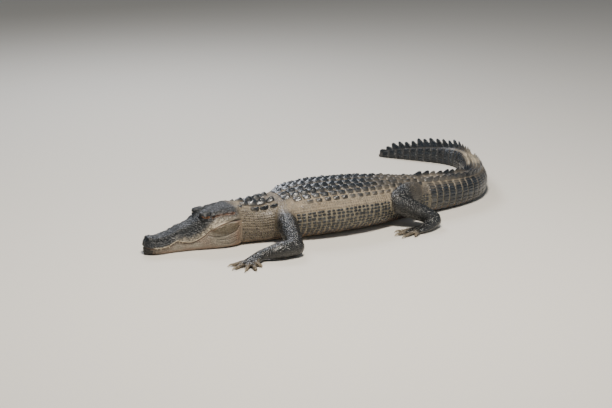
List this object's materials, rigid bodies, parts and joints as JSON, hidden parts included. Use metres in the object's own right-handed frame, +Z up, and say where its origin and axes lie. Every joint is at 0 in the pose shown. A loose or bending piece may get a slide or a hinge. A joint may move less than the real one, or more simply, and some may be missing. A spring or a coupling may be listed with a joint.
{
  "type": "american alligator model",
  "caption": "Life-size still model of an american alligator resting on its belly, with keeled back plates and its tail curled round to one side.",
  "frame": {"origin": "on the floor under the middle of the belly", "axes": "+Z up from the floor, +X along the torso from the head towards the tail, +Y to the animal's right side, where the tail curls round"},
  "size_m": [1.9035, 1.1347, 0.2011],
  "materials": {
    "hide_back": "keeled, dark and half wet",
    "hide_flank": "matt, scaled, dusted with dry mud",
    "hide_jaw": "smooth pale skin",
    "hide_leg": "wet, dark and glossy",
    "eye": "wet and glossy",
    "claw": "horn, satin"
  },
  "bodies": {
    "root": {"belly": "hide_flank", "chest": "hide_flank", "claw_front_left_1": "claw", "claw_front_left_2": "claw", "claw_front_left_3": "claw", "claw_front_right_1": "claw", "claw_front_right_2": "claw", "claw_front_right_3": "claw", "claw_hind_left_1": "claw", "claw_hind_left_2": "claw", "claw_hind_left_3": "claw", "claw_hind_right_1": "claw", "claw_hind_right_2": "claw", "claw_hind_right_3": "claw", "eye_left": "eye", "eye_right": "eye", "foot_left": "hide_leg", "foot_right": "hide_leg", "forearm_left": "hide_leg", "forearm_right": "hide_leg", "hand_left": "hide_leg", "hand_right": "hide_leg", "head": "hide_back", "lower_jaw": "hide_jaw", "neck": "hide_flank", "pelvis": "hide_back", "shank_left": "hide_leg", "shank_right": "hide_leg", "tail_1": "hide_back", "tail_2": "hide_back", "tail_3": "hide_back", "tail_4": "hide_back", "tail_5": "hide_back", "tail_6": "hide_back", "thigh_left": "hide_leg", "thigh_right": "hide_leg", "upper_arm_left": "hide_leg", "upper_arm_right": "hide_leg"}
  },
  "joints": []
}
